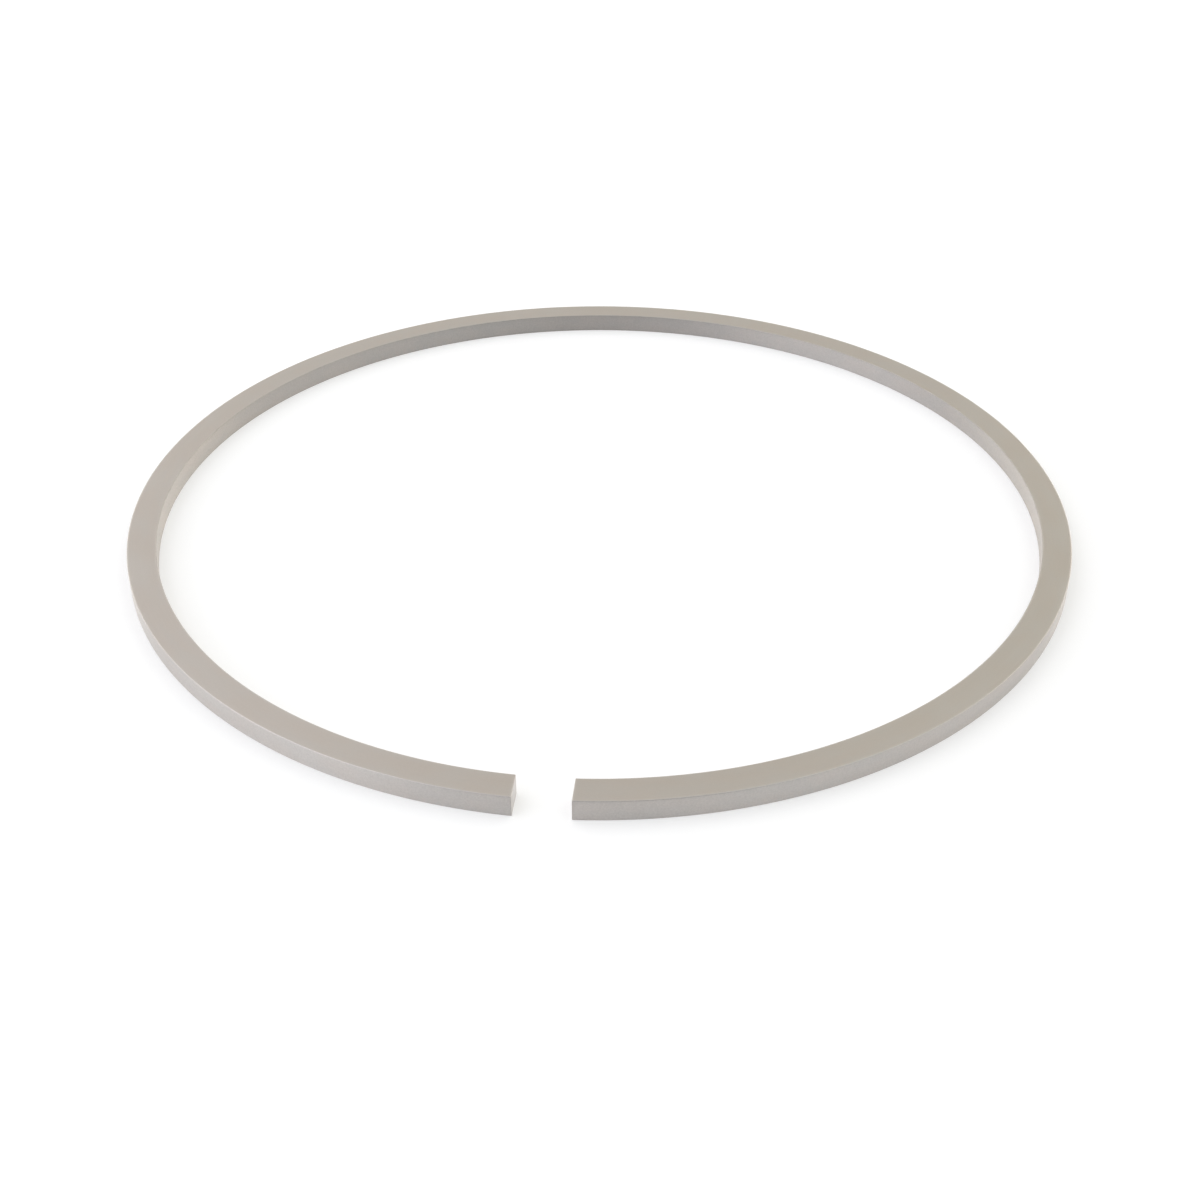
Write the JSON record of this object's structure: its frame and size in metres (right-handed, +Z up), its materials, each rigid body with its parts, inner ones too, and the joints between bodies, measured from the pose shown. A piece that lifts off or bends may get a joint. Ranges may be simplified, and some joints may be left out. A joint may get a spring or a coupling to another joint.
{
  "type": "snap ring",
  "caption": "Open ring of flat spring-steel wire with square-cut ends and a narrow gap, for a groove in a shaft.",
  "frame": {"origin": "on the ring's axis, at the level of its lower face", "axes": "+Z up along the ring's axis; the end gap looks towards -Y"},
  "size_m": [0.117, 0.1169, 0.0025],
  "materials": {
    "spring_steel": "satin"
  },
  "bodies": {
    "root": {"snap_ring": "spring_steel"}
  },
  "joints": []
}
